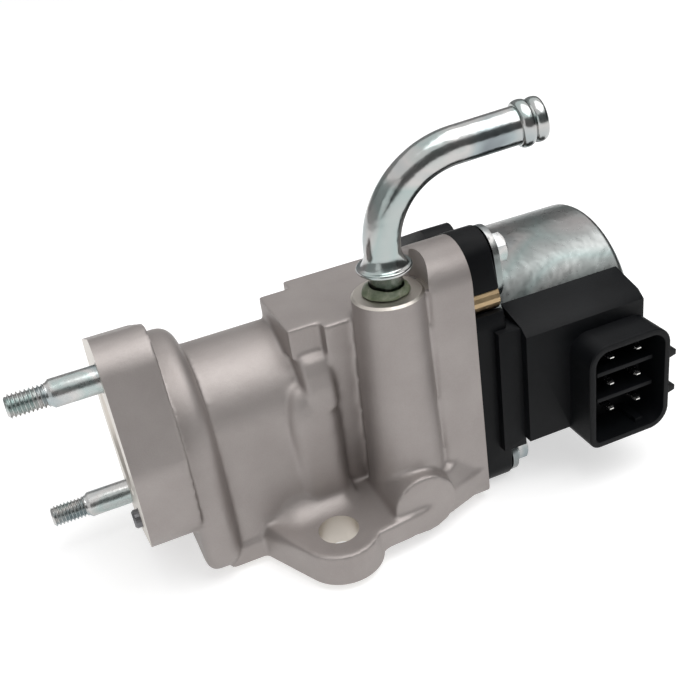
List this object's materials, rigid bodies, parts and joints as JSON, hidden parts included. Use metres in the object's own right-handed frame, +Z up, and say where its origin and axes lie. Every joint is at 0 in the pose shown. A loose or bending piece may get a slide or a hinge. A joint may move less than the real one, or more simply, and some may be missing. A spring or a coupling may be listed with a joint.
{
  "type": "exhaust gas recirculation valve",
  "caption": "Exhaust gas recirculation valve: cast flanged body with studs and bolt ears, bent coolant pipe and a stepper motor actuator with a side connector.",
  "frame": {"origin": "centre of the inlet port on the inlet flange's face", "axes": "+X along the valve stem towards the motor, +Y away from the side that carries the coolant pipe, +Z up with the base face underneath"},
  "size_m": [0.1706, 0.0896, 0.1108],
  "materials": {
    "cast_aluminium": "satin",
    "bright_zinc": "glossy",
    "steel": "satin",
    "dark_steel": "satin",
    "black_plastic": "matte",
    "brass": "satin",
    "bronze": "satin",
    "seal_rubber": "matte",
    "green_sealant": "satin",
    "coil_stack": "satin",
    "magnet": "matte",
    "tinned_contact": "glossy"
  },
  "bodies": {
    "valve": {"actuator_housing": "black_plastic", "actuator_seal_ring": "seal_rubber", "connector_pin_1": "tinned_contact", "connector_pin_2": "tinned_contact", "connector_pin_3": "tinned_contact", "connector_pin_4": "tinned_contact", "connector_pin_5": "tinned_contact", "connector_pin_6": "tinned_contact", "coolant_pipe": "bright_zinc", "inlet_dowel_pin": "dark_steel", "locating_sleeve": "brass", "lower_stud": "bright_zinc", "motor_can": "bright_zinc", "mounting_bush_lower": "brass", "mounting_bush_rear": "brass", "mounting_bush_upper": "brass", "mounting_screw_lower": "bright_zinc", "mounting_screw_rear": "bright_zinc", "mounting_screw_upper": "bright_zinc", "pipe_sealant_ring": "green_sealant", "return_spring": "steel", "rotor_bearing_front": "steel", "rotor_bearing_rear": "steel", "stator_coils": "coil_stack", "stem_guide_bush": "bronze", "stem_seal": "seal_rubber", "upper_stud": "bright_zinc", "valve_body": "cast_aluminium", "valve_seat_ring": "steel"},
    "stem": {"valve_pintle": "steel", "spring_retainer": "steel", "lead_screw": "steel"},
    "rotor": {"motor_rotor": "magnet"}
  },
  "joints": [
    {"name": "rotor_spin", "type": "hinge", "parent": "valve", "child": "rotor", "pos_m": [0.123, 0, 0], "axis": [-1, 0, 0], "range_deg": [0, 810]},
    {"name": "stem_slide", "type": "slide", "parent": "valve", "child": "stem", "axis": [-1, 0, 0], "range_m": [0, 0.0045], "deforming": ["return_spring"]}
  ],
  "couplings": [
    {"joint": "rotor_spin", "follows": "stem_slide", "rad_per_m": 3141.6}
  ]
}
